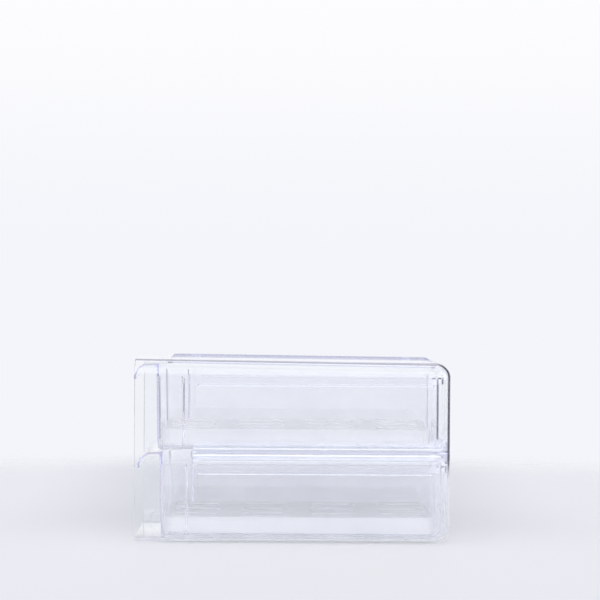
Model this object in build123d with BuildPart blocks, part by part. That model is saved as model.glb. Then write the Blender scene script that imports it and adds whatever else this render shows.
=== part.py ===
from build123d import *
from math import atan, sin, cos, sqrt
import os

os.makedirs("parts", exist_ok=True)

# A clear two-tier fridge bin: an open-fronted casing with a middle shelf, and two pull-out
# drawers that hang from guide rails by their rims. A slotted drain tray stands in each drawer.
# Millimetres. +Z up, the open front faces -Y, origin under the middle of the whole bin.

# ---------------------------------------------------------------- driving dimensions
# Casing
casing_width = 190.0
casing_depth = 320.0
casing_height = 187.0  # top edge at the open front, above the table
casing_wall = 2.0
casing_radius = 15.0  # outside radius of every long edge and of the back edges
casing_lip_radius = 0.7  # rounding of the cut front edge
top_fall = 3.0  # moulding draft: the top comes down this much towards the back
base_gap = 2.0  # table to underside, at the front
base_rise = 0.8  # moulding draft of the underside towards the back

# Stacking recess in the top, and the ring below that drops into one
recess_depth = 1.8
recess_side = 30.0  # casing side to recess
recess_front = 34.0  # open front to recess
recess_back = 16.0  # back of the casing to recess
recess_radius = 9.0
nest_clearance = 0.6
ring_wall = 2.0
ring_clear = 0.5  # table to ring

# Feet
foot_radius = 6.0
foot_thickness = 1.2
foot_margin = 14.0  # ring to the middle of a foot
foot_boss_margin = 1.5
glue_gap = 0.05

# Tiers
lower_drawer_base = 5.4  # table to the underside of the lower drawer
tier_pitch = 89.5

# Middle shelf: a plate with a band above and below it on three sides
shelf_front = 59.5  # open front to the shelf
shelf_thickness = 1.8
shelf_below_drawer = 0.7  # shelf to the underside of the upper drawer
shelf_band_up = 10.5  # plate top to the top of the band
shelf_band_down = 10.2  # plate underside to the foot of the band
shelf_band_wall = 2.4
shelf_radius_up = 8.0
shelf_radius_down = 9.0
shelf_fit = 0.15  # shelf to casing

# Guide rails
rail_front = 63.3  # open front to the rails
rail_back = 17.0  # back of the casing to the rails
rail_thickness = 2.2
rail_reach = 4.8
rail_clearance = 0.4  # rail top to the rim that rides on it

# Drawers
drawer_wall = 1.8
drawer_floor = 2.0
drawer_height = 75.0  # underside to rim
drawer_radius = 12.0
drawer_side_gap = 0.8  # casing to rim
drawer_back_gap = 1.2  # casing to rim, drawer closed
front_setback = 25.8  # open front of the casing to the closed drawer's front
front_wall = 2.4
front_lean = 1.4  # the front leans in this much by its foot
front_bay = 28.6  # depth of the full-width part behind the front
bay_corner_radius = 4.0
rim_side = 6.0  # the rim stands out from the drawer's sides
rim_back = 4.2  # and from its back
rim_thickness = 1.8
rim_skirt = 7.0
skirt_wall = 1.6
upper_pull = 3.8  # how far the upper drawer stands open at rest

# Lip handle
front_height = 87.0  # drawer underside to the top of the lip
lip_reach = 22.9
lip_radius = 14.0
lip_thickness = 2.0
lip_bead = 1.3
lip_root_radius = 3.0
lip_end_gap = 2.0  # end of the lip to the side of the drawer
lip_corner_radius = 10.0  # seen from the front

# Drain tray
tray_side_gap = 2.9
tray_front_gap = 3.2
tray_back_gap = 6.9
tray_height = 15.9
tray_wall = 1.5
tray_radius = 9.0
tray_edge_radius = 1.4
tray_seat_clearance = 0.5  # above the drawer's rounded corners, which carry it
slot_length = 47.5
slot_width = 21.0
slot_pitch_y = 71.2
slot_pitch_x = 49.0
slot_corner_radius = 8.0
slot_columns = 4
slot_rows = 3

# ---------------------------------------------------------------- worked-out places
overhang = max(0.0, lip_reach + upper_pull - front_setback)  # lip in front of the casing
casing_front_y = -(casing_depth - overhang) / 2
casing_back_y = casing_front_y + casing_depth
inner_half = casing_width / 2 - casing_wall
inner_back_y = casing_back_y - casing_wall
top_slope = atan(top_fall / casing_depth)
top_plane = Plane(
    origin=(0, casing_front_y, casing_height),
    x_dir=(1, 0, 0),
    z_dir=(0, sin(top_slope), cos(top_slope)),
)
recess_length = (casing_depth - recess_front - recess_back) / cos(top_slope)
recess_width = casing_width - 2 * recess_side
recess_mid = recess_front + recess_length / 2

upper_drawer_base = lower_drawer_base + tier_pitch
shelf_top_z = upper_drawer_base - shelf_below_drawer
shelf_under_z = shelf_top_z - shelf_thickness

rim_half = inner_half - drawer_side_gap
well_half = rim_half - rim_side
closed_face_y = casing_front_y + front_setback
drawer_length = inner_back_y - drawer_back_gap - rim_back - closed_face_y

tray_half = well_half - drawer_wall - tray_side_gap
well_inner_radius = drawer_radius - drawer_wall
tray_into_corner = tray_half - (well_half - drawer_wall - well_inner_radius)
corner_rise = well_inner_radius - sqrt(well_inner_radius**2 - tray_into_corner**2)
tray_seat = drawer_floor + corner_rise + tray_seat_clearance
tray_length = drawer_length - front_wall - drawer_wall - tray_front_gap - tray_back_gap

foot_x = recess_width / 2 - nest_clearance - foot_margin
foot_front_y = casing_front_y + recess_front + nest_clearance + foot_margin
foot_back_y = casing_back_y - recess_back - nest_clearance - foot_margin


def save(piece, name):
    """Labels a finished piece and writes it as its own file."""
    piece.label = name
    export_step(piece, f"parts/{name}.step")


# ---------------------------------------------------------------- casing
with BuildPart() as casing:
    with BuildSketch(Plane.YZ):
        with BuildLine():
            Polyline(
                (casing_front_y, base_gap),
                (casing_back_y, base_gap + base_rise),
                (casing_back_y, casing_height - top_fall),
                (casing_front_y, casing_height),
                close=True,
            )
        make_face()
    extrude(amount=casing_width / 2, both=True)
    front_face = casing.faces().sort_by(Axis.Y)[0]
    open_edges = front_face.edges()
    rounded = [e for e in casing.edges() if not any(e.is_same(o) for o in open_edges)]
    fillet(rounded, casing_radius)
    offset(
        amount=-casing_wall,
        openings=casing.faces().sort_by(Axis.Y)[0],
        kind=Kind.INTERSECTION,
    )
    fillet(casing.faces().sort_by(Axis.Y)[0].edges(), casing_lip_radius)

    # the recess keeps the top's thickness, so its floor hangs below as a shallow pan
    with BuildSketch(top_plane.offset(-recess_depth - casing_wall)):
        with Locations((0, recess_mid)):
            RectangleRounded(
                recess_width + 2 * casing_wall,
                recess_length + 2 * casing_wall,
                recess_radius + casing_wall,
            )
    extrude(amount=recess_depth + casing_wall / 2)
    with BuildSketch(top_plane.offset(-recess_depth)):
        with Locations((0, recess_mid)):
            RectangleRounded(recess_width, recess_length, recess_radius)
    extrude(amount=recess_depth + casing_wall, mode=Mode.SUBTRACT)

    # ring that drops into the recess of a bin below
    ring_mid_y = (foot_front_y + foot_back_y) / 2
    ring_width = recess_width - 2 * nest_clearance
    ring_length = foot_back_y - foot_front_y + 2 * foot_margin
    with BuildSketch(Plane.XY.offset(ring_clear)):
        with Locations((0, ring_mid_y)):
            RectangleRounded(ring_width, ring_length, recess_radius)
            RectangleRounded(
                ring_width - 2 * ring_wall,
                ring_length - 2 * ring_wall,
                recess_radius - ring_wall,
                mode=Mode.SUBTRACT,
            )
    extrude(amount=base_gap - ring_clear + casing_wall / 2)

    # a flat boss over each foot
    with BuildSketch(Plane.XY.offset(foot_thickness + glue_gap)):
        for y in (foot_front_y, foot_back_y):
            with Locations((-foot_x, y), (foot_x, y)):
                Circle(foot_radius + foot_boss_margin)
    extrude(amount=base_gap - foot_thickness - glue_gap + casing_wall / 2)
save(casing.part, "casing_shell")


# ---------------------------------------------------------------- feet
def build_foot(x, y):
    """One soft round pad under the casing."""
    with BuildPart() as foot:
        with BuildSketch():
            with Locations((x, y)):
                Circle(foot_radius)
        extrude(amount=foot_thickness)
        fillet(foot.edges().group_by(Axis.Z)[0], foot_thickness / 3)
    return foot.part


for side, x in (("left", -foot_x), ("right", foot_x)):
    save(build_foot(x, foot_front_y), f"front_{side}_foot")
    save(build_foot(x, foot_back_y), f"back_{side}_foot")


# ---------------------------------------------------------------- middle shelf
def shelf_pocket(floor_z, top_z, radius, round_top):
    """The space on one side of the shelf plate, rounded where it meets the plate and the band."""
    front_y = casing_front_y
    back_y = inner_back_y - shelf_fit - shelf_band_wall
    with BuildPart() as pocket:
        with BuildSketch(Plane.XY.offset(floor_z)):
            with Locations((0, (front_y + back_y) / 2)):
                Rectangle(2 * (inner_half - shelf_fit - shelf_band_wall), back_y - front_y)
        extrude(amount=top_z - floor_z)
        plate_edges = pocket.edges().group_by(Axis.Z)[-1 if round_top else 0]
        back_edges = pocket.edges().filter_by(Axis.Z).group_by(Axis.Y)[-1]
        fillet(plate_edges.sort_by(Axis.Y)[1:] + back_edges, radius)
    return pocket.part


upper_pocket = shelf_pocket(
    shelf_top_z, shelf_top_z + 2 * shelf_band_up, shelf_radius_up, False
)
lower_pocket = shelf_pocket(
    shelf_under_z - 2 * shelf_band_down, shelf_under_z, shelf_radius_down, True
)

with BuildPart() as shelf:
    shelf_half = inner_half - shelf_fit
    shelf_front_y = casing_front_y + shelf_front
    shelf_back_y = inner_back_y - shelf_fit
    with BuildSketch(Plane.XY.offset(shelf_under_z - shelf_band_down)) as shelf_plan:
        with Locations((0, (shelf_front_y + shelf_back_y) / 2)):
            Rectangle(2 * shelf_half, shelf_back_y - shelf_front_y)
        back_corners = shelf_plan.vertices().group_by(Axis.Y)[-1]
        fillet(back_corners, casing_radius - casing_wall - shelf_fit)
    extrude(amount=shelf_band_down + shelf_thickness + shelf_band_up)
    add(upper_pocket, mode=Mode.SUBTRACT)
    add(lower_pocket, mode=Mode.SUBTRACT)
save(shelf.part, "middle_shelf")


# ---------------------------------------------------------------- guide rails
def build_rail(side, drawer_base):
    """A ledge along one side wall, under a drawer's rim. side is -1 or 1."""
    top_z = drawer_base + drawer_height - rim_skirt - rail_clearance
    front_y = casing_front_y + rail_front
    back_y = casing_back_y - rail_back
    middle_x = side * (inner_half - glue_gap - rail_reach / 2)
    with BuildPart() as rail:
        with BuildSketch(Plane.XY.offset(top_z - rail_thickness)) as plan:
            with Locations((middle_x, (front_y + back_y) / 2)):
                Rectangle(rail_reach, back_y - front_y)
            free_corners = plan.vertices().group_by(Axis.X)[0 if side > 0 else -1]
            fillet(free_corners, rail_reach / 2)
        extrude(amount=rail_thickness)
        free_edges = rail.edges().filter_by(Axis.Y).group_by(Axis.X)[0 if side > 0 else -1]
        fillet(free_edges, rail_thickness / 4)
    return rail.part


for tier, drawer_base in (("lower", lower_drawer_base), ("upper", upper_drawer_base)):
    for side_name, side in (("left", -1), ("right", 1)):
        save(build_rail(side, drawer_base), f"{tier}_{side_name}_rail")


# ---------------------------------------------------------------- drawers
def rounded_well(half, front_y, back_y, floor_z, top_z, radius):
    """A block with a rounded underside and rounded upright edges at the back."""
    with BuildPart() as block:
        with BuildSketch(Plane.XY.offset(floor_z)):
            with Locations((0, (front_y + back_y) / 2)):
                Rectangle(2 * half, back_y - front_y)
        extrude(amount=top_z - floor_z)
        back_edges = block.edges().filter_by(Axis.Z).group_by(Axis.Y)[-1]
        fillet(block.edges().group_by(Axis.Z)[0] + back_edges, radius)
    return block.part


def front_section(half, front_y, back_y, floor_z, top_z, radius, outline_radius):
    """The wide bay behind the drawer's front, whose face leans in towards its foot."""
    lean = front_lean * (top_z - floor_z) / drawer_height
    with BuildPart() as block:
        with BuildSketch(Plane.YZ):
            with BuildLine():
                Polyline(
                    (front_y, top_z),
                    (back_y, top_z),
                    (back_y, floor_z),
                    (front_y + lean, floor_z),
                    close=True,
                )
            make_face()
        extrude(amount=half, both=True)
        fillet(block.edges().group_by(Axis.Z)[0].filter_by(Axis.Y), radius)
        for end in (0, -1):
            outline = block.faces().sort_by(Axis.Y)[end].edges().sort_by(Axis.Z)[:-1]
            fillet(outline, outline_radius)
    return block.part


def front_lip(face_y, rim_z, top_z):
    """The front above the rim, and the lip that rolls forwards and down from its top."""
    half = rim_half - lip_end_gap
    roll_y = face_y - lip_reach + lip_radius
    roll_z = top_z - lip_radius
    inner_roll = lip_radius - lip_thickness
    root_z = rim_z - rim_skirt
    with BuildPart() as lip:
        with BuildSketch(Plane.YZ) as lip_side:
            with BuildLine():
                Line((face_y + front_wall, root_z), (face_y + front_wall, top_z))
                Line((face_y + front_wall, top_z), (roll_y, top_z))
                CenterArc((roll_y, roll_z), lip_radius, 90, 90)
                Line((roll_y - lip_radius, roll_z), (roll_y - inner_roll, roll_z))
                CenterArc((roll_y, roll_z), inner_roll, 90, 90)
                Line((roll_y, roll_z + inner_roll), (face_y, roll_z + inner_roll))
                Line((face_y, roll_z + inner_roll), (face_y, root_z))
                Line((face_y, root_z), (face_y + front_wall, root_z))
            make_face()
            # the sketch's own x runs along the bin and its y runs up
            root = lip_side.vertices().sort_by_distance((face_y, roll_z + inner_roll))[0]
            fillet(root, lip_root_radius)
            with Locations((roll_y - lip_radius + lip_bead, roll_z)):
                Circle(lip_bead)
        extrude(amount=half, both=True)
        with BuildSketch(Plane.XZ.offset(lip_reach - face_y)) as lip_front:
            with Locations((0, top_z - front_height)):
                Rectangle(2 * half, 2 * front_height)
            fillet(lip_front.vertices().group_by(Axis.Y)[-1], lip_corner_radius)
        extrude(amount=-2 * lip_reach - front_wall, mode=Mode.INTERSECT)
    return lip.part


def build_drawer(base_z, face_y):
    """One drawer: a well with a hooked rim, a wide front bay, and a front with a lip handle."""
    rim_z = base_z + drawer_height
    back_y = face_y + drawer_length
    bay_end_y = face_y + front_bay
    above = rim_z + drawer_height
    inner_floor = base_z + drawer_floor
    inner_radius = drawer_radius - drawer_wall
    well = rounded_well(
        well_half, face_y + front_wall / 2, back_y, base_z, rim_z, drawer_radius
    )
    well_inside = rounded_well(
        well_half - drawer_wall,
        face_y + front_wall + front_lean,
        back_y - drawer_wall,
        inner_floor,
        above,
        inner_radius,
    )
    bay = front_section(
        rim_half, face_y, bay_end_y, base_z, rim_z, drawer_radius, bay_corner_radius
    )
    bay_inside = front_section(
        rim_half - drawer_wall,
        face_y + front_wall,
        bay_end_y - drawer_wall,
        inner_floor,
        rim_z + drawer_wall,
        inner_radius,
        bay_corner_radius - drawer_wall,
    )
    rim_front_y = bay_end_y - bay_corner_radius - drawer_wall
    rim_end_y = back_y + rim_back

    with BuildPart() as drawer:
        # rim: a flange with a skirt that hooks over the rails
        with BuildSketch(Plane.XY.offset(rim_z - rim_skirt)) as rim_plan:
            with Locations((0, (rim_front_y + rim_end_y) / 2)):
                Rectangle(2 * rim_half, rim_end_y - rim_front_y)
            fillet(rim_plan.vertices().group_by(Axis.Y)[-1], drawer_radius)
        extrude(amount=rim_skirt)
        with BuildSketch(Plane.XY.offset(rim_z - rim_skirt)) as channel_plan:
            with Locations((0, (rim_front_y + rim_end_y) / 2)):
                Rectangle(
                    2 * (rim_half - skirt_wall), rim_end_y - rim_front_y - 2 * skirt_wall
                )
            fillet(
                channel_plan.vertices().group_by(Axis.Y)[-1], drawer_radius - skirt_wall
            )
        extrude(amount=rim_skirt - rim_thickness, mode=Mode.SUBTRACT)
        add(bay)
        add(well)
        add(bay_inside, mode=Mode.SUBTRACT)
        add(well_inside, mode=Mode.SUBTRACT)
        add(front_lip(face_y, rim_z, base_z + front_height))
    return drawer.part


# ---------------------------------------------------------------- drain trays
def build_tray(base_z, face_y):
    """An upturned shallow tray with slots, standing on the drawer's rounded bottom corners."""
    bottom_z = base_z + tray_seat
    front_y = face_y + front_wall + tray_front_gap
    middle_y = front_y + tray_length / 2
    with BuildPart() as tray:
        with BuildSketch(Plane.XY.offset(bottom_z)):
            with Locations((0, middle_y)):
                RectangleRounded(2 * tray_half, tray_length, tray_radius)
        extrude(amount=tray_height)
        fillet(tray.edges().group_by(Axis.Z)[-1], tray_edge_radius)
        offset(amount=-tray_wall, openings=tray.faces().sort_by(Axis.Z)[0])
        with BuildSketch(Plane.XY.offset(bottom_z + tray_height - 2 * tray_wall)):
            with Locations((0, middle_y)):
                with GridLocations(slot_pitch_x, slot_pitch_y, slot_rows, slot_columns):
                    RectangleRounded(slot_width, slot_length, slot_corner_radius)
        extrude(amount=3 * tray_wall, mode=Mode.SUBTRACT)
    return tray.part


drawer_places = (
    ("lower", lower_drawer_base, closed_face_y),
    ("upper", upper_drawer_base, closed_face_y - upper_pull),
)
for tier, base_z, face_y in drawer_places:
    save(build_drawer(base_z, face_y), f"{tier}_drawer")
    save(build_tray(base_z, face_y), f"{tier}_drain_tray")
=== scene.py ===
import logging
import math
from dataclasses import dataclass, field
from enum import Enum
from typing import Sequence

import bmesh
import bpy
from mathutils import Matrix, Vector


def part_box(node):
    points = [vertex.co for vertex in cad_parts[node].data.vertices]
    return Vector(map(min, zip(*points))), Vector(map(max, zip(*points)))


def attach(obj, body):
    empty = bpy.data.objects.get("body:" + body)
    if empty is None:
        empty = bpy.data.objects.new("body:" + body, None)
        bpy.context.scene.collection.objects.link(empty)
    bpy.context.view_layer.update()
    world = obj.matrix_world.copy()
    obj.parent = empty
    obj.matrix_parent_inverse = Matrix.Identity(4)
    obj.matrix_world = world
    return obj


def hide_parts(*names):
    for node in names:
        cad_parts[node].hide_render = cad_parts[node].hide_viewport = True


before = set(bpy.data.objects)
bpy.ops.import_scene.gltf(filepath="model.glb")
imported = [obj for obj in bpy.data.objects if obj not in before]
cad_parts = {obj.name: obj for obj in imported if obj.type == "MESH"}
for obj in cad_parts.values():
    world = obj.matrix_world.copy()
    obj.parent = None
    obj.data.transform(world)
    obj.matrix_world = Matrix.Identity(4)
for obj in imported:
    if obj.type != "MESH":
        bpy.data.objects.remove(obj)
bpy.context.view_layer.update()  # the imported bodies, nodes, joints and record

# A clear two-tier fridge bin: an open-fronted casing with a middle shelf, two pull-out drawers
# that hang from rails, and a slotted drain tray in each. Metres, +Z up, the open front faces -Y.

LOG = logging.getLogger("fridge_bin")
MM = 0.001
COLLECTION = bpy.context.scene.collection


# ---------------------------------------------------------------------------- small helpers
def mm(value: float) -> float:
    """Millimetres as metres."""
    return value * MM


def new_object(name: str, mesh: bpy.types.Mesh) -> bpy.types.Object:
    """Puts a mesh in the scene under that name, at the origin."""
    mesh.name = name
    made = bpy.data.objects.new(name, mesh)
    COLLECTION.objects.link(made)
    return made


def evaluated_mesh(source: bpy.types.Object) -> bpy.types.Mesh:
    """The mesh an object has once its modifiers are worked out.

    Args:
        source: An object in the scene, with live modifiers.

    Returns:
        A new plain mesh in the object's own coordinates.
    """
    depsgraph = bpy.context.evaluated_depsgraph_get()
    return bpy.data.meshes.new_from_object(source.evaluated_get(depsgraph), depsgraph=depsgraph)


def apply_modifiers(piece: bpy.types.Object) -> None:
    """Swaps a piece's mesh for its modified one and drops the modifiers."""
    settled = evaluated_mesh(piece)
    piece.modifiers.clear()
    before = piece.data
    settled.name = before.name
    piece.data = settled
    bpy.data.meshes.remove(before)


# ---------------------------------------------------------------------------- node builders
@dataclass
class NodeTree:
    """Adds nodes to a shader or geometry tree and joins them in one call."""

    tree: bpy.types.NodeTree

    def add(self, kind: str, settings: dict | None = None, **inputs: object) -> bpy.types.Node:
        """Adds a node, sets its properties and fills or links its inputs.

        Args:
            kind: The node's type name.
            settings: Properties of the node itself.
            **inputs: Values or output sockets, by input name with spaces as underscores.

        Returns:
            The new node.
        """
        node = self.tree.nodes.new(kind)
        for key, value in (settings or {}).items():
            setattr(node, key, value)
        for key, value in inputs.items():
            self.feed(node.inputs[key.replace("_", " ")], value)
        return node

    def feed(self, socket: bpy.types.NodeSocket, value: object) -> None:
        """Links a socket to an output, or sets its plain value."""
        if isinstance(value, bpy.types.NodeSocket):
            self.tree.links.new(value, socket)
        else:
            socket.default_value = value

    def math(self, operation: str, first: object, second: object = 0.0) -> bpy.types.NodeSocket:
        """The output of a math node."""
        node = self.tree.nodes.new("ShaderNodeMath")
        node.operation = operation
        self.feed(node.inputs[0], first)
        self.feed(node.inputs[1], second)
        return node.outputs[0]

    def ramp(self, value: object, start: float, end: float, low: float = 0.0, high: float = 1.0,
             ) -> bpy.types.NodeSocket:
        """A smooth step of a value from start to end, giving low to high."""
        node = self.add("ShaderNodeMapRange", {"interpolation_type": "SMOOTHSTEP"})
        for index, item in enumerate((value, start, end, low, high)):
            self.feed(node.inputs[index], item)
        return node.outputs[0]

    def mix_colour(self, share: object, first: object, second: object) -> bpy.types.NodeSocket:
        """A colour between two others."""
        node = self.add("ShaderNodeMix", {"data_type": "RGBA"})
        self.feed(node.inputs[0], share)
        self.feed(node.inputs[6], first)
        self.feed(node.inputs[7], second)
        return node.outputs[2]


def rgb(red: float, green: float, blue: float) -> tuple[float, float, float, float]:
    """A colour socket's value."""
    return (red, green, blue, 1.0)


# ---------------------------------------------------------------------------- shared shader groups
def shader_group(name: str, inputs: Sequence[tuple[str, str, float]], outputs: Sequence[tuple[str, str]],
                 ) -> tuple[bpy.types.NodeTree, NodeTree, bpy.types.Node, bpy.types.Node]:
    """An empty shader group with its sockets.

    Args:
        name: The group's name.
        inputs: Name, socket type and default of each input.
        outputs: Name and socket type of each output.

    Returns:
        The group, its builder, and its input and output nodes.
    """
    group = bpy.data.node_groups.new(name, "ShaderNodeTree")
    for label, kind, default in inputs:
        socket = group.interface.new_socket(label, in_out="INPUT", socket_type=kind)
        socket.default_value = default
    for label, kind in outputs:
        group.interface.new_socket(label, in_out="OUTPUT", socket_type=kind)
    builder = NodeTree(group)
    return group, builder, builder.add("NodeGroupInput"), builder.add("NodeGroupOutput")


HAZE_SCALE = 23.0
HAZE_DETAIL = 5.0
HAZE_ROUGHNESS = 0.62
HAZE_SPAN = (0.42, 0.72)
SCUFF_DETAIL = 3.0
SCUFF_SPAN = (0.6, 0.78)
WAVE_DETAIL = 1.5
SHARP_ANGLE = math.radians(32.0)  # an edge that turns more than this stays crisp
CUT_ANGLE = math.radians(50.0)  # an edge that turns more than this is rounded


def build_moulding_skin() -> bpy.types.NodeTree:
    """The skin of a moulded plastic piece: flow waves, a faint haze of handling, and fine scuffs.

    Returns:
        A group that puts out a haze mask, a scuff mask and a height.
    """
    group, tree, source, result = shader_group(
        "moulding_skin",
        (
            ("Wave Size", "NodeSocketFloat", 9.0),
            ("Flow Stretch", "NodeSocketFloat", 0.35),
            ("Scuff Size", "NodeSocketFloat", 420.0),
            ("Seed", "NodeSocketFloat", 0.0),
        ),
        (("Haze", "NodeSocketFloat"), ("Scuffs", "NodeSocketFloat"), ("Height", "NodeSocketFloat")),
    )
    place = tree.add("ShaderNodeTexCoord").outputs["Object"]
    stretch = tree.add("ShaderNodeCombineXYZ", X=1.0, Y=source.outputs["Flow Stretch"], Z=1.0)
    flow = tree.add("ShaderNodeVectorMath", {"operation": "MULTIPLY"})
    tree.feed(flow.inputs[0], place)
    tree.feed(flow.inputs[1], stretch.outputs[0])
    waves = tree.add("ShaderNodeTexNoise", {"noise_dimensions": "4D"}, Vector=flow.outputs[0],
                     W=source.outputs["Seed"], Scale=source.outputs["Wave Size"], Detail=WAVE_DETAIL)
    haze = tree.add("ShaderNodeTexNoise", {"noise_dimensions": "4D"}, Vector=place,
                    W=source.outputs["Seed"], Scale=HAZE_SCALE, Detail=HAZE_DETAIL,
                    Roughness=HAZE_ROUGHNESS)
    scuffs = tree.add("ShaderNodeTexNoise", {"noise_dimensions": "4D"}, Vector=flow.outputs[0],
                      W=source.outputs["Seed"], Scale=source.outputs["Scuff Size"],
                      Detail=SCUFF_DETAIL)
    tree.feed(result.inputs["Haze"], tree.ramp(haze.outputs["Fac"], *HAZE_SPAN))
    tree.feed(result.inputs["Scuffs"], tree.ramp(scuffs.outputs["Fac"], *SCUFF_SPAN))
    tree.feed(result.inputs["Height"], waves.outputs["Fac"])
    return group


MOULDING_SKIN = build_moulding_skin()


# ---------------------------------------------------------------------------- finishes
@dataclass(frozen=True)
class ClearPlastic:
    """Polished see-through plastic with a cool tint that deepens along its edges, and a painted pale glow
    on rays still caught in its walls.
    """

    name: str
    tint: tuple[float, float, float]
    haze_tint: tuple[float, float, float]
    absorb: tuple[float, float, float]
    density: float
    gloss: float = 0.012
    haze: float = 0.05
    wave_height: float = 0.00006
    index: float = 1.56
    painted_trapped_glow: tuple[float, float, float] = (0.7, 0.7, 0.79)  # painted glow, standing in for light that the walls guide along
    light_pass: float = 0.94  # share of the lamps' light that a face lets straight through
    trap_depth: int = 11
    seed: float = 0.0

    def build(self) -> bpy.types.Material:
        """The material, made once."""
        material = bpy.data.materials.new(self.name)
        material.use_nodes = True
        tree = NodeTree(material.node_tree)
        shader = material.node_tree.nodes["Principled BSDF"]
        skin = tree.add("ShaderNodeGroup", {"node_tree": MOULDING_SKIN}, Seed=self.seed)
        worn = tree.math("MULTIPLY_ADD", skin.outputs["Haze"], self.haze)
        worn.node.inputs[2].default_value = self.gloss
        scuffed = tree.math("MULTIPLY_ADD", skin.outputs["Scuffs"], self.haze)
        tree.feed(scuffed.node.inputs[2], worn)
        bump = tree.add("ShaderNodeBump", Height=skin.outputs["Height"], Strength=1.0,
                        Distance=self.wave_height)
        colour = tree.mix_colour(skin.outputs["Haze"], rgb(*self.tint), rgb(*self.haze_tint))
        tree.feed(shader.inputs["Base Color"], colour)
        tree.feed(shader.inputs["Roughness"], scuffed)
        tree.feed(shader.inputs["Normal"], bump.outputs[0])
        shader.inputs["Transmission Weight"].default_value = 1.0
        shader.inputs["IOR"].default_value = self.index
        path = tree.add("ShaderNodeLightPath").outputs
        lighting = tree.math("MAXIMUM", path["Is Shadow Ray"], path["Is Diffuse Ray"])
        solid = tree.math("MULTIPLY_ADD", lighting, -self.light_pass)
        solid.node.inputs[2].default_value = 1.0
        tree.feed(shader.inputs["Alpha"], solid)
        # Painted glow: a ray at its eleventh bounce gets pale emission in place of the light the walls
        # would guide to it.
        trapped = tree.math("COMPARE", path["Ray Depth"], float(self.trap_depth))
        trapped.node.inputs[2].default_value = 0.4
        tree.feed(shader.inputs["Emission Color"],
                  tree.mix_colour(trapped, rgb(0.0, 0.0, 0.0), rgb(*self.painted_trapped_glow)))
        shader.inputs["Emission Strength"].default_value = 1.0
        inside = tree.add("ShaderNodeVolumeAbsorption", Color=rgb(*self.absorb), Density=self.density)
        output = material.node_tree.nodes["Material Output"]
        tree.feed(output.inputs["Volume"], inside.outputs[0])
        return material


@dataclass(frozen=True)
class FrostedPlastic:
    """Translucent milky plastic with a fine matte grain."""

    name: str
    milk: tuple[float, float, float]
    shade: tuple[float, float, float]
    cover: float
    cover_spread: float = 0.05
    roughness: float = 0.38
    haze: float = 0.14
    grain_height: float = 0.00005
    seed: float = 5.0

    def build(self) -> bpy.types.Material:
        """The material, made once."""
        material = bpy.data.materials.new(self.name)
        material.use_nodes = True
        tree = NodeTree(material.node_tree)
        shader = material.node_tree.nodes["Principled BSDF"]
        skin = tree.add("ShaderNodeGroup", {"node_tree": MOULDING_SKIN}, Seed=self.seed)
        rough = tree.math("MULTIPLY_ADD", skin.outputs["Haze"], self.haze)
        rough.node.inputs[2].default_value = self.roughness
        cover = tree.math("MULTIPLY_ADD", skin.outputs["Haze"], self.cover_spread)
        cover.node.inputs[2].default_value = self.cover
        bump = tree.add("ShaderNodeBump", Height=skin.outputs["Scuffs"], Strength=0.6,
                        Distance=self.grain_height)
        colour = tree.mix_colour(skin.outputs["Haze"], rgb(*self.milk), rgb(*self.shade))
        tree.feed(shader.inputs["Base Color"], colour)
        tree.feed(shader.inputs["Roughness"], rough)
        tree.feed(shader.inputs["Alpha"], cover)
        tree.feed(shader.inputs["Normal"], bump.outputs[0])
        return material


@dataclass(frozen=True)
class PadRubber:
    """Soft satin rubber of a foot pad."""

    name: str
    base: tuple[float, float, float]
    dust: tuple[float, float, float]
    roughness: float = 0.55
    seed: float = 9.0

    def build(self) -> bpy.types.Material:
        """The material, made once."""
        material = bpy.data.materials.new(self.name)
        material.use_nodes = True
        tree = NodeTree(material.node_tree)
        shader = material.node_tree.nodes["Principled BSDF"]
        skin = tree.add("ShaderNodeGroup", {"node_tree": MOULDING_SKIN}, Seed=self.seed, Scuff_Size=900.0)
        rough = tree.math("MULTIPLY_ADD", skin.outputs["Scuffs"], 0.2)
        rough.node.inputs[2].default_value = self.roughness
        bump = tree.add("ShaderNodeBump", Height=skin.outputs["Scuffs"], Strength=0.5, Distance=mm(0.1))
        colour = tree.mix_colour(skin.outputs["Haze"], rgb(*self.base), rgb(*self.dust))
        tree.feed(shader.inputs["Base Color"], colour)
        tree.feed(shader.inputs["Roughness"], rough)
        tree.feed(shader.inputs["Normal"], bump.outputs[0])
        return material


class Finish(Enum):
    """The finishes of the bin's pieces."""

    CASING = ClearPlastic("casing_clear", (0.975, 0.98, 0.986), (0.95, 0.958, 0.968),
                          (0.25, 0.3, 0.62), 3.0, seed=1.0)
    SHELF = ClearPlastic("shelf_clear", (0.965, 0.975, 0.99), (0.94, 0.955, 0.98),
                         (0.25, 0.28, 0.6), 2.6, seed=2.0)
    DRAWER = ClearPlastic("drawer_clear", (0.95, 0.95, 0.964), (0.93, 0.93, 0.95),
                          (0.25, 0.25, 0.6), 4.0, seed=3.0)
    RAIL = ClearPlastic("rail_clear", (0.965, 0.975, 0.99), (0.94, 0.955, 0.98),
                        (0.25, 0.3, 0.62), 3.0, seed=4.0)
    TRAY = FrostedPlastic("tray_frosted", (0.95, 0.955, 0.97), (0.92, 0.925, 0.945), 0.45)
    PAD = PadRubber("foot_rubber", (0.72, 0.73, 0.75), (0.6, 0.61, 0.62))


class Wardrobe:
    """Builds each finish once and hands it out."""

    def __init__(self) -> None:
        """Starts with nothing built."""
        self._made: dict[Finish, bpy.types.Material] = {}

    def get(self, finish: Finish) -> bpy.types.Material:
        """The material of a finish."""
        if finish not in self._made:
            self._made[finish] = finish.value.build()
        return self._made[finish]

    def dress(self, piece: bpy.types.Object, finish: Finish) -> None:
        """Gives the whole piece one finish."""
        piece.data.materials.clear()
        piece.data.materials.append(self.get(finish))
        for polygon in piece.data.polygons:
            polygon.material_index = 0


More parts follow.
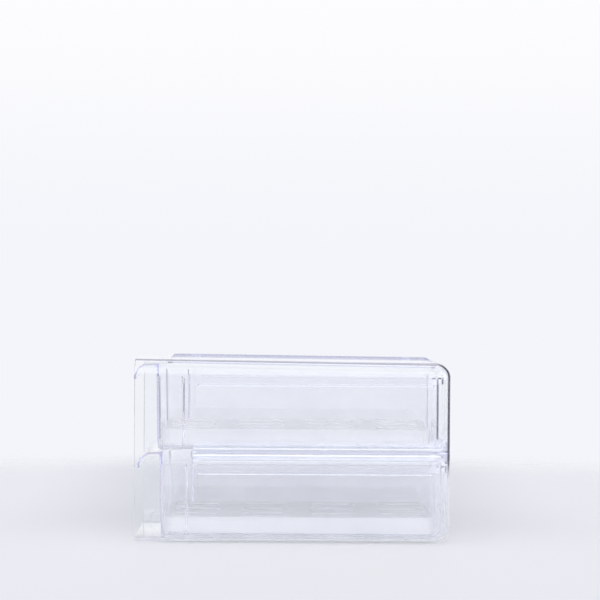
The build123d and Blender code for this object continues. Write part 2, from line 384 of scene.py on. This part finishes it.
# ---------------------------------------------------------------------------- moulded pieces
@dataclass
class Moulding:
    """A clear moulding: the CAD node's shape with its curved walls made smooth."""

    node: str
    body: str
    finish: Finish
    weld: float = mm(0.002)
    flat_angle: float = math.radians(0.05)

    def build(self, wardrobe: Wardrobe) -> bpy.types.Object:
        """Makes the piece, dresses it and puts it on its body.

        Args:
            wardrobe: The built finishes.

        Returns:
            The finished piece, which stands for the CAD node.
        """
        piece = new_object(f"{self.node}_moulding", self.welded())
        weighted = piece.modifiers.new("true_normals", "WEIGHTED_NORMAL")
        weighted.keep_sharp = True
        weighted.weight = 100
        apply_modifiers(piece)
        wardrobe.dress(piece, self.finish)
        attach(piece, self.body)
        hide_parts(self.node)
        LOG.info("%s rides on %s, %d faces", piece.name, self.body, len(piece.data.polygons))
        return piece

    def welded(self) -> bpy.types.Mesh:
        """The node's mesh with its triangles joined and its hard edges marked."""
        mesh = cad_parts[self.node].data.copy()
        if "custom_normal" in mesh.attributes:
            mesh.attributes.remove(mesh.attributes["custom_normal"])
        shape = bmesh.new()
        shape.from_mesh(mesh)
        bmesh.ops.remove_doubles(shape, verts=shape.verts, dist=self.weld)
        bmesh.ops.dissolve_limit(shape, angle_limit=self.flat_angle, verts=shape.verts, edges=shape.edges)
        shape.to_mesh(mesh)
        shape.free()
        mark_sharp(mesh)
        return mesh


# ---------------------------------------------------------------------------- geometry nodes
@dataclass
class GeometryTree(NodeTree):
    """A geometry tree with named inputs, and helpers for the shapes that repeat."""

    @classmethod
    def start(cls, name: str, inputs: Sequence[tuple[str, str]]) -> "GeometryTree":
        """An empty geometry tree with its sockets.

        Args:
            name: The tree's name.
            inputs: Name and socket type of each input.

        Returns:
            The builder of the new tree.
        """
        group = bpy.data.node_groups.new(name, "GeometryNodeTree")
        group.interface.new_socket("Geometry", in_out="OUTPUT", socket_type="NodeSocketGeometry")
        for label, kind in inputs:
            group.interface.new_socket(label, in_out="INPUT", socket_type=kind)
        return cls(group)

    def block(self, width: object, length: object, corner: object, height: object, lift: object,
              ) -> bpy.types.NodeSocket:
        """A closed upright block with rounded corners.

        Args:
            width: Size along X.
            length: Size along Y.
            corner: Radius of the four upright corners.
            height: Size along Z.
            lift: Height of the block's foot.

        Returns:
            The block's geometry.
        """
        outline = self.add("GeometryNodeCurvePrimitiveQuadrilateral", Width=width, Height=length)
        rounded = self.add("GeometryNodeFilletCurve", {"mode": "POLY"}, Curve=outline.outputs[0],
                           Radius=corner, Count=9)
        foot = self.add("GeometryNodeFillCurve", {"mode": "NGONS"}, Curve=rounded.outputs[0])
        up = self.add("ShaderNodeCombineXYZ", Z=1.0)
        walls = self.add("GeometryNodeExtrudeMesh", {"mode": "FACES"}, Mesh=foot.outputs[0],
                         Offset=up.outputs[0], Offset_Scale=height)
        turned = self.add("GeometryNodeFlipFaces", Mesh=foot.outputs[0])
        both = self.add("GeometryNodeJoinGeometry")
        self.tree.links.new(turned.outputs[0], both.inputs[0])
        self.tree.links.new(walls.outputs[0], both.inputs[0])
        closed = self.add("GeometryNodeMergeByDistance", Geometry=both.outputs[0], Distance=mm(0.01))
        place = self.add("ShaderNodeCombineXYZ", Z=lift)
        return self.add("GeometryNodeTransform", Geometry=closed.outputs[0],
                        Translation=place.outputs[0]).outputs[0]

    def finish(self, geometry: bpy.types.NodeSocket, material: bpy.types.NodeSocket) -> bpy.types.NodeTree:
        """Realizes the instances, sets the material and closes the tree."""
        real = self.add("GeometryNodeRealizeInstances", Geometry=geometry)
        dressed = self.add("GeometryNodeSetMaterial", Geometry=real.outputs[0], Material=material)
        self.add("NodeGroupOutput", Geometry=dressed.outputs[0])
        return self.tree


def grown_object(name: str, tree: bpy.types.NodeTree, values: dict[str, object]) -> bpy.types.Object:
    """An object whose shape comes from a geometry tree.

    Args:
        name: The object's name.
        tree: The geometry tree.
        values: Each input's value, by its name.

    Returns:
        The object, with its modifier still live.
    """
    grown = new_object(name, bpy.data.meshes.new(name))
    modifier = grown.modifiers.new(tree.name, "NODES")
    modifier.node_group = tree
    for socket in tree.interface.items_tree:
        if socket.in_out == "INPUT":
            modifier[socket.identifier] = values[socket.name]
    return grown


def mark_sharp(mesh: bpy.types.Mesh) -> None:
    """Smooths a mesh and keeps the edges that turn past SHARP_ANGLE crisp."""
    shape = bmesh.new()
    shape.from_mesh(mesh)
    for face in shape.faces:
        face.smooth = True
    for edge in shape.edges:
        edge.smooth = edge.calc_face_angle(math.pi) < SHARP_ANGLE
    shape.to_mesh(mesh)
    shape.free()


def build_tray_tree() -> bpy.types.NodeTree:
    """A drain tray: a plate with skirts and a grid of rounded slots, edges weighted for rounding.

    Returns:
        The geometry tree.
    """
    lengths = ("Width", "Length", "Height", "Wall", "Corner Radius", "Slot Width", "Slot Length",
               "Slot Radius", "Pitch X", "Pitch Y", "Fine Edge")
    build = GeometryTree.start("drain_tray_shape", (
        *((label, "NodeSocketFloat") for label in lengths),
        ("Rows", "NodeSocketInt"), ("Columns", "NodeSocketInt"), ("Material", "NodeSocketMaterial"),
    ))
    size = build.add("NodeGroupInput").outputs
    wall_twice = build.math("MULTIPLY", size["Wall"], 2.0)
    outer = build.block(size["Width"], size["Length"], size["Corner Radius"], size["Height"], 0.0)
    hollow = build.block(
        build.math("SUBTRACT", size["Width"], wall_twice),
        build.math("SUBTRACT", size["Length"], wall_twice),
        build.math("SUBTRACT", size["Corner Radius"], size["Wall"]),
        size["Height"],
        build.math("MULTIPLY", size["Wall"], -1.0),
    )
    cutter = build.block(size["Slot Width"], size["Slot Length"], size["Slot Radius"],
                         build.math("MULTIPLY", size["Height"], 2.0), 0.0)
    grid = build.add(
        "GeometryNodeMeshGrid",
        Size_X=build.math("MULTIPLY", size["Pitch X"], build.math("SUBTRACT", size["Rows"], 1.0)),
        Size_Y=build.math("MULTIPLY", size["Pitch Y"], build.math("SUBTRACT", size["Columns"], 1.0)),
        Vertices_X=size["Rows"], Vertices_Y=size["Columns"],
    )
    slots = build.add("GeometryNodeInstanceOnPoints", Points=grid.outputs["Mesh"], Instance=cutter)
    cut = build.add("GeometryNodeMeshBoolean", {"operation": "DIFFERENCE", "solver": "EXACT"})
    build.feed(cut.inputs["Mesh 1"], outer)
    real_slots = build.add("GeometryNodeRealizeInstances", Geometry=slots.outputs[0])
    build.tree.links.new(hollow, cut.inputs["Mesh 2"])
    build.tree.links.new(real_slots.outputs[0], cut.inputs["Mesh 2"])
    place = build.add("GeometryNodeInputPosition").outputs[0]
    x, y, z = build.add("ShaderNodeSeparateXYZ", Vector=place).outputs
    side = build.math("SUBTRACT", build.math("MULTIPLY", size["Width"], 0.5), size["Corner Radius"])
    end = build.math("SUBTRACT", build.math("MULTIPLY", size["Length"], 0.5),
                     build.math("MULTIPLY", size["Corner Radius"], 0.4))
    rim = build.math("MAXIMUM",
                     build.math("GREATER_THAN", build.math("ABSOLUTE", x), side),
                     build.math("GREATER_THAN", build.math("ABSOLUTE", y), end))
    top = build.math("GREATER_THAN", z, build.math("MULTIPLY", size["Height"], 0.97))
    sharp = build.math("GREATER_THAN", build.add("GeometryNodeInputMeshEdgeAngle").outputs[0], CUT_ANGLE)
    coarse = build.math("SUBTRACT", 1.0, size["Fine Edge"])
    top_rim = build.math("MULTIPLY", rim, top)
    weight = build.math("ADD", size["Fine Edge"], build.math("MULTIPLY", top_rim, coarse))
    stored = build.add("GeometryNodeStoreNamedAttribute", {"data_type": "FLOAT", "domain": "EDGE"},
                       Geometry=cut.outputs[0], Name="bevel_weight_edge")
    build.feed(stored.inputs["Value"], build.math("MULTIPLY", sharp, weight))
    return build.finish(stored.outputs[0], size["Material"])


def build_pad_tree() -> bpy.types.NodeTree:
    """Four round foot pads, each with a shallow cup in its sole.

    Returns:
        The geometry tree.
    """
    lengths = ("Radius", "Thickness", "Cup Depth", "Spacing X", "Spacing Y")
    build = GeometryTree.start("foot_pad_shape", (
        *((label, "NodeSocketFloat") for label in lengths), ("Material", "NodeSocketMaterial"),
    ))
    size = build.add("NodeGroupInput").outputs
    disc = build.add("GeometryNodeMeshCylinder", {"fill_type": "NGON"}, Vertices=64,
                     Radius=size["Radius"], Depth=size["Thickness"])
    facing = build.add("ShaderNodeSeparateXYZ", Vector=build.add("GeometryNodeInputNormal").outputs[0])
    sole = build.math("LESS_THAN", facing.outputs[2], -0.5)
    inset = build.add("GeometryNodeExtrudeMesh", {"mode": "FACES"}, Mesh=disc.outputs["Mesh"],
                      Selection=sole, Offset_Scale=0.0)
    shrunk = build.add("GeometryNodeScaleElements", {"domain": "FACE"}, Geometry=inset.outputs["Mesh"],
                       Selection=inset.outputs["Top"], Scale=0.74)
    cup = build.add("GeometryNodeExtrudeMesh", {"mode": "FACES"}, Mesh=shrunk.outputs[0],
                    Selection=inset.outputs["Top"],
                    Offset_Scale=build.math("MULTIPLY", size["Cup Depth"], -1.0))
    spots = build.add("GeometryNodeMeshGrid", Size_X=size["Spacing X"], Size_Y=size["Spacing Y"],
                      Vertices_X=2, Vertices_Y=2)
    pads = build.add("GeometryNodeInstanceOnPoints", Points=spots.outputs["Mesh"],
                     Instance=cup.outputs["Mesh"])
    return build.finish(pads.outputs[0], size["Material"])


# ---------------------------------------------------------------------------- repeated pieces
@dataclass
class DrainTray:
    """A loose frosted tray: plate up, skirts down, with its grid of slots."""

    node: str
    body: str
    wall: float = mm(1.5)
    corner_radius: float = mm(9.0)
    slot: tuple[float, float, float] = (mm(21.0), mm(47.5), mm(8.0))  # width, length, corner
    pitch: tuple[float, float] = (mm(49.0), mm(71.2))
    rows: int = 3
    columns: int = 4
    edge_round: float = mm(1.35)
    edge_steps: int = 5
    fine_edge: float = 0.2  # share of the rounding that the slots and the skirt's foot get

    def build(self, wardrobe: Wardrobe, tree: bpy.types.NodeTree) -> bpy.types.Object:
        """Grows the tray inside its CAD node's box and puts it on its body.

        Args:
            wardrobe: The built finishes.
            tree: The tray's geometry tree.

        Returns:
            The finished tray, which stands for the CAD node.
        """
        low, high = (Vector(corner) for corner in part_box(self.node))
        size = high - low
        tray = grown_object(f"{self.node}_shape", tree, {
            "Width": size.x, "Length": size.y, "Height": size.z, "Wall": self.wall,
            "Corner Radius": self.corner_radius, "Slot Width": self.slot[0], "Slot Length": self.slot[1],
            "Slot Radius": self.slot[2], "Pitch X": self.pitch[0], "Pitch Y": self.pitch[1],
            "Fine Edge": self.fine_edge, "Rows": self.rows, "Columns": self.columns,
            "Material": wardrobe.get(Finish.TRAY),
        })
        apply_modifiers(tray)
        middle = (low + high) / 2
        tray.data.transform(Matrix.Translation((middle.x, middle.y, low.z)))
        bevel = tray.modifiers.new("edge_round", "BEVEL")
        bevel.limit_method = "WEIGHT"
        bevel.width = self.edge_round
        bevel.segments = self.edge_steps
        apply_modifiers(tray)
        mark_sharp(tray.data)
        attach(tray, self.body)
        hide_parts(self.node)
        LOG.info("%s rides on %s, %d faces", tray.name, self.body, len(tray.data.polygons))
        return tray


@dataclass
class FootPads:
    """The casing's four soft pads, as one piece."""

    nodes: tuple[str, ...]
    body: str = "casing"
    cup_depth: float = mm(0.3)
    edge_round: float = mm(0.22)
    edge_steps: int = 3

    def build(self, wardrobe: Wardrobe, tree: bpy.types.NodeTree) -> bpy.types.Object:
        """Grows the pads on the places of the CAD nodes.

        Args:
            wardrobe: The built finishes.
            tree: The pads' geometry tree.

        Returns:
            The finished pads, which stand for the four CAD nodes.
        """
        boxes = [[Vector(corner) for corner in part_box(node)] for node in self.nodes]
        middles = [(low + high) / 2 for low, high in boxes]
        size = boxes[0][1] - boxes[0][0]
        spread = Vector(max(m[axis] for m in middles) - min(m[axis] for m in middles) for axis in range(3))
        pads = grown_object("foot_pads", tree, {
            "Radius": size.x / 2, "Thickness": size.z, "Cup Depth": self.cup_depth,
            "Spacing X": spread.x, "Spacing Y": spread.y, "Material": wardrobe.get(Finish.PAD),
        })
        bevel = pads.modifiers.new("edge_round", "BEVEL")
        bevel.limit_method = "ANGLE"
        bevel.angle_limit = CUT_ANGLE
        bevel.width = self.edge_round
        bevel.segments = self.edge_steps
        apply_modifiers(pads)
        pads.data.transform(Matrix.Translation(sum(middles, Vector()) / len(middles)))
        mark_sharp(pads.data)
        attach(pads, self.body)
        for node in self.nodes:
            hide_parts(node)
        LOG.info("%s ride on %s, %d faces", pads.name, self.body, len(pads.data.polygons))
        return pads


# ---------------------------------------------------------------------------- studio
@dataclass(frozen=True)
class Sky:
    """Tones of the sky, and where one changes to the next, by height or by turn from an axis."""

    horizon: tuple[float, float, float] = (0.9, 0.912, 0.955)
    overhead: tuple[float, float, float] = (0.975, 0.975, 0.99)
    overhead_span: tuple[float, float] = (0.0, 0.11)
    behind: tuple[float, float, float] = (0.45, 0.45, 0.52)
    behind_span: tuple[float, float] = (0.12, 0.3)
    near_side: tuple[float, float, float] = (1.7, 1.71, 1.75)
    near_span: tuple[float, float] = (0.0, 0.12)
    side_span: tuple[float, float] = (-0.12, 0.12)
    roof: tuple[float, float, float] = (1.1, 1.1, 1.14)
    roof_span: tuple[float, float] = (0.7, 0.85)
    front_gap: tuple[float, float, float] = (0.26, 0.26, 0.32)
    back_gap: tuple[float, float, float] = (0.1, 0.1, 0.13)
    gap_tone_span: tuple[float, float] = (-0.3, 0.3)
    gap_span: tuple[float, float] = (0.38, 0.72)


@dataclass(frozen=True)
class Table:
    """Sizes and tones of the table. It glows a little, and less so where a shadow of the bin is painted on
    it.
    """

    radius: float = 1.15
    segments: int = 96
    fade_span: tuple[float, float] = (0.65, 0.98)  # shares of the radius
    paint: tuple[float, float, float] = (0.52, 0.53, 0.55)
    glow_tint: tuple[float, float, float] = (0.96, 0.97, 1.0)
    glow: float = 0.29
    # painted shadow: how much the glow drops behind and beside the bin, and where
    shade: float = 0.13
    shade_back_span: tuple[float, float] = (0.05, -0.25)
    shade_side_span: tuple[float, float] = (0.34, 0.12)
    roughness: float = 0.6
    specular: float = 0.2


@dataclass
class Studio:
    """Pale table, bright sky and the camera."""

    sky: Sky = Sky()
    table: Table = Table()
    wall_bounces: int = 30
    diffuse_bounces: int = 3
    transparent_bounces: int = 24
    brightest_indirect: float = 4.0
    camera_place: Vector = field(default_factory=lambda: Vector((2.545, -0.0214, 0.288)))
    pitch: float = math.radians(0.943)
    yaw: float = math.radians(0.66)
    roll: float = math.radians(0.37)
    lens: float = 145.8

    def build(self) -> None:
        """Makes the whole set."""
        self.tone()
        self.hang_sky()
        self.lay_table()
        self.camera()

    def tone(self) -> None:
        """Plain colours, and enough bounces for many clear walls."""
        scene = bpy.context.scene
        scene.view_settings.view_transform = "Standard"
        scene.view_settings.look = "None"
        scene.cycles.max_bounces = self.wall_bounces
        scene.cycles.transmission_bounces = self.wall_bounces
        scene.cycles.glossy_bounces = self.wall_bounces
        scene.cycles.diffuse_bounces = self.diffuse_bounces
        scene.cycles.transparent_max_bounces = self.transparent_bounces
        scene.cycles.sample_clamp_indirect = self.brightest_indirect
        scene.cycles.use_denoising = True

    def hang_sky(self) -> None:
        """A bright backdrop all round, with darker gaps between its panels for the plastic's edges."""
        world = bpy.data.worlds.new("studio_sky")
        bpy.context.scene.world = world
        world.use_nodes = True
        tree = NodeTree(world.node_tree)
        background = world.node_tree.nodes["Background"]
        output = world.node_tree.nodes["World Output"]
        way = tree.add("ShaderNodeSeparateXYZ", Vector=tree.add("ShaderNodeTexCoord").outputs["Generated"])
        x, y, z = way.outputs
        flat = tree.math("ADD", tree.math("MULTIPLY", x, x), tree.math("MULTIPLY", y, y))
        turn = tree.math("DIVIDE", tree.math("MULTIPLY", tree.math("MULTIPLY", x, y), 2.0), flat)
        sky = self.sky
        gap = tree.ramp(tree.math("ABSOLUTE", turn), *sky.gap_span)
        backdrop = tree.mix_colour(tree.ramp(z, *sky.overhead_span), rgb(*sky.horizon), rgb(*sky.overhead))
        behind = tree.mix_colour(tree.ramp(z, *sky.behind_span), backdrop, rgb(*sky.behind))
        front_to_back = tree.ramp(y, *sky.gap_tone_span)
        gap_tone = tree.mix_colour(front_to_back, rgb(*sky.front_gap), rgb(*sky.back_gap))
        far_side = tree.mix_colour(gap, behind, gap_tone)
        near_side = tree.mix_colour(tree.ramp(z, *sky.near_span), backdrop, rgb(*sky.near_side))
        panels = tree.mix_colour(tree.ramp(x, *sky.side_span), far_side, near_side)
        light = tree.mix_colour(tree.ramp(z, *sky.roof_span), panels, rgb(*sky.roof))
        seen = tree.add("ShaderNodeLightPath").outputs["Is Camera Ray"]
        tree.feed(background.inputs["Color"], tree.mix_colour(seen, light, backdrop))
        tree.feed(output.inputs["Surface"], background.outputs[0])

    def lay_table(self) -> None:
        """A wide pale table whose edge melts into the backdrop."""
        table = self.table
        shape = bmesh.new()
        bmesh.ops.create_circle(shape, cap_ends=True, segments=table.segments, radius=table.radius)
        mesh = bpy.data.meshes.new("table_top")
        shape.to_mesh(mesh)
        shape.free()
        top = new_object("table_top", mesh)
        material = bpy.data.materials.new("table_paint")
        material.use_nodes = True
        tree = NodeTree(material.node_tree)
        shader = material.node_tree.nodes["Principled BSDF"]
        place = tree.add("ShaderNodeTexCoord").outputs["Object"]
        far = tree.add("ShaderNodeVectorMath", {"operation": "LENGTH"})
        tree.feed(far.inputs[0], place)
        start, end = (share * table.radius for share in table.fade_span)
        fade = tree.ramp(far.outputs["Value"], start, end, 1.0, 0.0)
        tree.feed(shader.inputs["Alpha"], fade)
        shader.inputs["Base Color"].default_value = rgb(*table.paint)
        shader.inputs["Emission Color"].default_value = rgb(*table.glow_tint)
        # Painted shadow of the bin: the glow is lowered behind the bin and near its middle line.
        x, y, _ = tree.add("ShaderNodeSeparateXYZ", Vector=place).outputs
        behind = tree.ramp(x, *table.shade_back_span)
        beside = tree.ramp(tree.math("ABSOLUTE", y), *table.shade_side_span)
        glow = tree.math("MULTIPLY_ADD", tree.math("MULTIPLY", behind, beside), -table.shade)
        glow.node.inputs[2].default_value = table.glow
        tree.feed(shader.inputs["Emission Strength"], glow)
        shader.inputs["Roughness"].default_value = table.roughness
        shader.inputs["Specular IOR Level"].default_value = table.specular
        mesh.materials.append(material)

    def camera(self) -> None:
        """The camera, level with the bin's side and a little above it."""
        data = bpy.data.cameras.new("studio_camera")
        data.sensor_width = 36.0
        data.lens = self.lens
        data.clip_start = 0.05
        data.clip_end = 50.0
        camera = bpy.data.objects.new("studio_camera", data)
        COLLECTION.objects.link(camera)
        ahead = Vector((
            -math.cos(self.yaw) * math.cos(self.pitch),
            math.sin(self.yaw) * math.cos(self.pitch),
            -math.sin(self.pitch),
        ))
        turn = ahead.to_track_quat("-Z", "Y").to_matrix() @ Matrix.Rotation(self.roll, 3, "Z")
        camera.rotation_euler = turn.to_euler()
        camera.location = self.camera_place
        bpy.context.scene.camera = camera


# ---------------------------------------------------------------------------- the whole bin
TIERS = ("lower", "upper")
SIDES = ("left", "right")


def main() -> None:
    """Builds every piece in order, then the set."""
    logging.basicConfig(level=logging.INFO, format="%(name)s: %(message)s")
    wardrobe = Wardrobe()
    tray_tree = build_tray_tree()
    Moulding("casing_shell", "casing", Finish.CASING).build(wardrobe)
    Moulding("middle_shelf", "casing", Finish.SHELF).build(wardrobe)
    for tier in TIERS:
        Moulding(f"{tier}_drawer", f"{tier}_drawer", Finish.DRAWER).build(wardrobe)
        DrainTray(f"{tier}_drain_tray", f"{tier}_tray").build(wardrobe, tray_tree)
        for side in SIDES:
            Moulding(f"{tier}_{side}_rail", "casing", Finish.RAIL).build(wardrobe)
    feet = tuple(f"{end}_{side}_foot" for end in ("front", "back") for side in SIDES)
    FootPads(feet).build(wardrobe, build_pad_tree())
    Studio().build()


if __name__ == "__main__":
    main()
